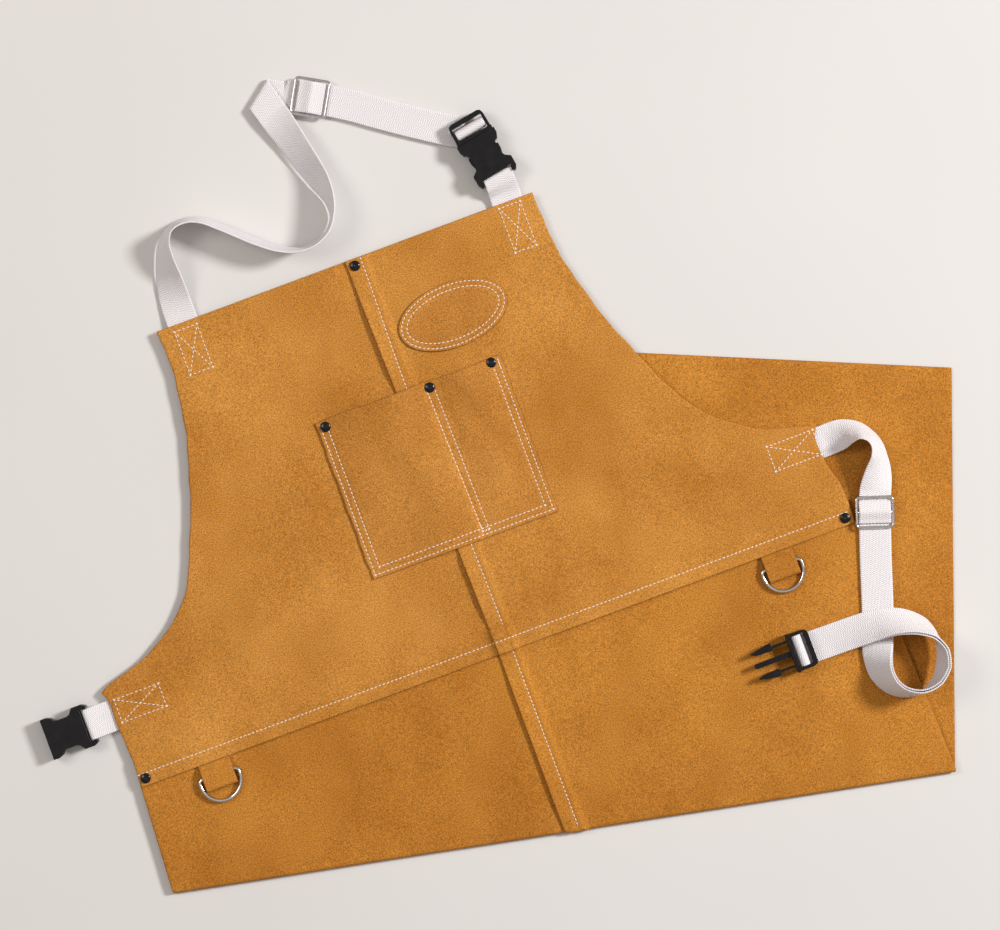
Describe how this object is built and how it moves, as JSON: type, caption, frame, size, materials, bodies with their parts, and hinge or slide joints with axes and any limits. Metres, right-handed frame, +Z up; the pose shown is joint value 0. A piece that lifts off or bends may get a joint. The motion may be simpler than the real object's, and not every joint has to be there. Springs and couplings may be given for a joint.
{
  "type": "welding apron",
  "caption": "Split-leather welding apron laid flat with its lower skirt folded under: bib, pocket, oval patch, D-rings on tabs, riveted laps, webbing straps, slides and side-release buckles.",
  "frame": {"origin": "on the floor, below the crossing of the centre lap and the waist seam", "axes": "+X across the apron to the strap side, +Y from the skirt to the bib, +Z up off the floor"},
  "size_m": [0.7803, 0.7082, 0.0344],
  "materials": {
    "split_leather": "golden tan split leather, fine suede nap, matte",
    "webbing": "white woven webbing with a fine herringbone and firm edges",
    "buckle_plastic": "black moulded plastic, fine texture, soft sheen",
    "nickel": "bright nickel plate on steel wire",
    "black_rivet": "glossy black cap rivet"
  },
  "bodies": {
    "apron": {"bib_left_panel": "split_leather", "bib_right_panel": "split_leather", "skirt_left_panel": "split_leather", "skirt_right_panel": "split_leather", "pocket": "split_leather", "oval_patch": "split_leather", "dring_tab_left": "split_leather", "dring_tab_right": "split_leather", "rivet_bib_cap": "black_rivet", "rivet_bib_back": "black_rivet", "rivet_pocket_left_cap": "black_rivet", "rivet_pocket_left_back": "black_rivet", "rivet_pocket_middle_cap": "black_rivet", "rivet_pocket_middle_back": "black_rivet", "rivet_pocket_right_cap": "black_rivet", "rivet_pocket_right_back": "black_rivet", "rivet_waist_left_cap": "black_rivet", "rivet_waist_left_back": "black_rivet", "rivet_waist_right_cap": "black_rivet", "rivet_waist_right_back": "black_rivet", "neck_strap": "webbing", "neck_strap_return": "webbing", "neck_plug": "buckle_plastic", "neck_plug_bight": "webbing", "neck_socket": "buckle_plastic", "neck_stub": "webbing", "waist_stub": "webbing", "waist_strap": "webbing", "waist_strap_return": "webbing", "waist_plug": "buckle_plastic", "waist_plug_bight": "webbing"},
    "lower_skirt": {"lower_skirt_left_panel": "split_leather", "lower_skirt_right_panel": "split_leather"},
    "left_dring": {"dring_left": "nickel"},
    "right_dring": {"dring_right": "nickel"},
    "neck_slide": {"neck_slide": "nickel", "neck_slide_bight": "webbing"},
    "waist_slide": {"waist_slide": "nickel", "waist_slide_bight": "webbing"},
    "neck_arm_left": {"neck_plug_arm_left": "buckle_plastic"},
    "neck_arm_right": {"neck_plug_arm_right": "buckle_plastic"},
    "waist_arm_left": {"waist_plug_arm_left": "buckle_plastic"},
    "waist_arm_right": {"waist_plug_arm_right": "buckle_plastic"},
    "waist_socket": {"waist_socket": "buckle_plastic"}
  },
  "joints": [
    {"name": "skirt_fold", "type": "hinge", "parent": "apron", "child": "lower_skirt", "pos_m": [0, -0.159, 0.00275], "axis": [-0.9797, 0.2004, 0], "range_deg": [0, 180]},
    {"name": "left_dring_swing", "type": "hinge", "parent": "apron", "child": "left_dring", "pos_m": [-0.2428, -0.021, 0.009], "axis": [-1, 0, 0], "range_deg": [0, 150]},
    {"name": "right_dring_swing", "type": "hinge", "parent": "apron", "child": "right_dring", "pos_m": [0.2356, -0.021, 0.009], "axis": [-1, 0, 0], "range_deg": [0, 150]},
    {"name": "neck_length_adjust", "type": "slide", "parent": "apron", "child": "neck_slide", "axis": [0.8691, -0.4947, 0], "range_m": [0, 0.04]},
    {"name": "waist_length_adjust", "type": "slide", "parent": "apron", "child": "waist_slide", "axis": [-0.3213, -0.947, 0], "range_m": [0, 0.04]},
    {"name": "neck_arm_left_squeeze", "type": "hinge", "parent": "apron", "child": "neck_arm_left", "pos_m": [0.13609, 0.38469, 0.009], "axis": [0, 0, -1], "range_deg": [0, 6], "stiffness_Nm_per_rad": 0.3},
    {"name": "neck_arm_right_squeeze", "type": "hinge", "parent": "apron", "child": "neck_arm_right", "pos_m": [0.11601, 0.38112, 0.009], "axis": [0, 0, 1], "range_deg": [0, 6], "stiffness_Nm_per_rad": 0.3},
    {"name": "waist_arm_left_squeeze", "type": "hinge", "parent": "apron", "child": "waist_arm_left", "pos_m": [0.2181, -0.1002, 0.0135], "axis": [0, 0, -1], "range_deg": [0, 6], "stiffness_Nm_per_rad": 0.3},
    {"name": "waist_arm_right_squeeze", "type": "hinge", "parent": "apron", "child": "waist_arm_right", "pos_m": [0.2181, -0.0798, 0.0135], "axis": [0, 0, 1], "range_deg": [0, 6], "stiffness_Nm_per_rad": 0.3},
    {"name": "waist_socket_pivot", "type": "hinge", "parent": "apron", "child": "waist_socket", "pos_m": [-0.3257, 0.0518, 0.0055], "axis": [0, 1, 0], "range_deg": [0, 75]}
  ]
}
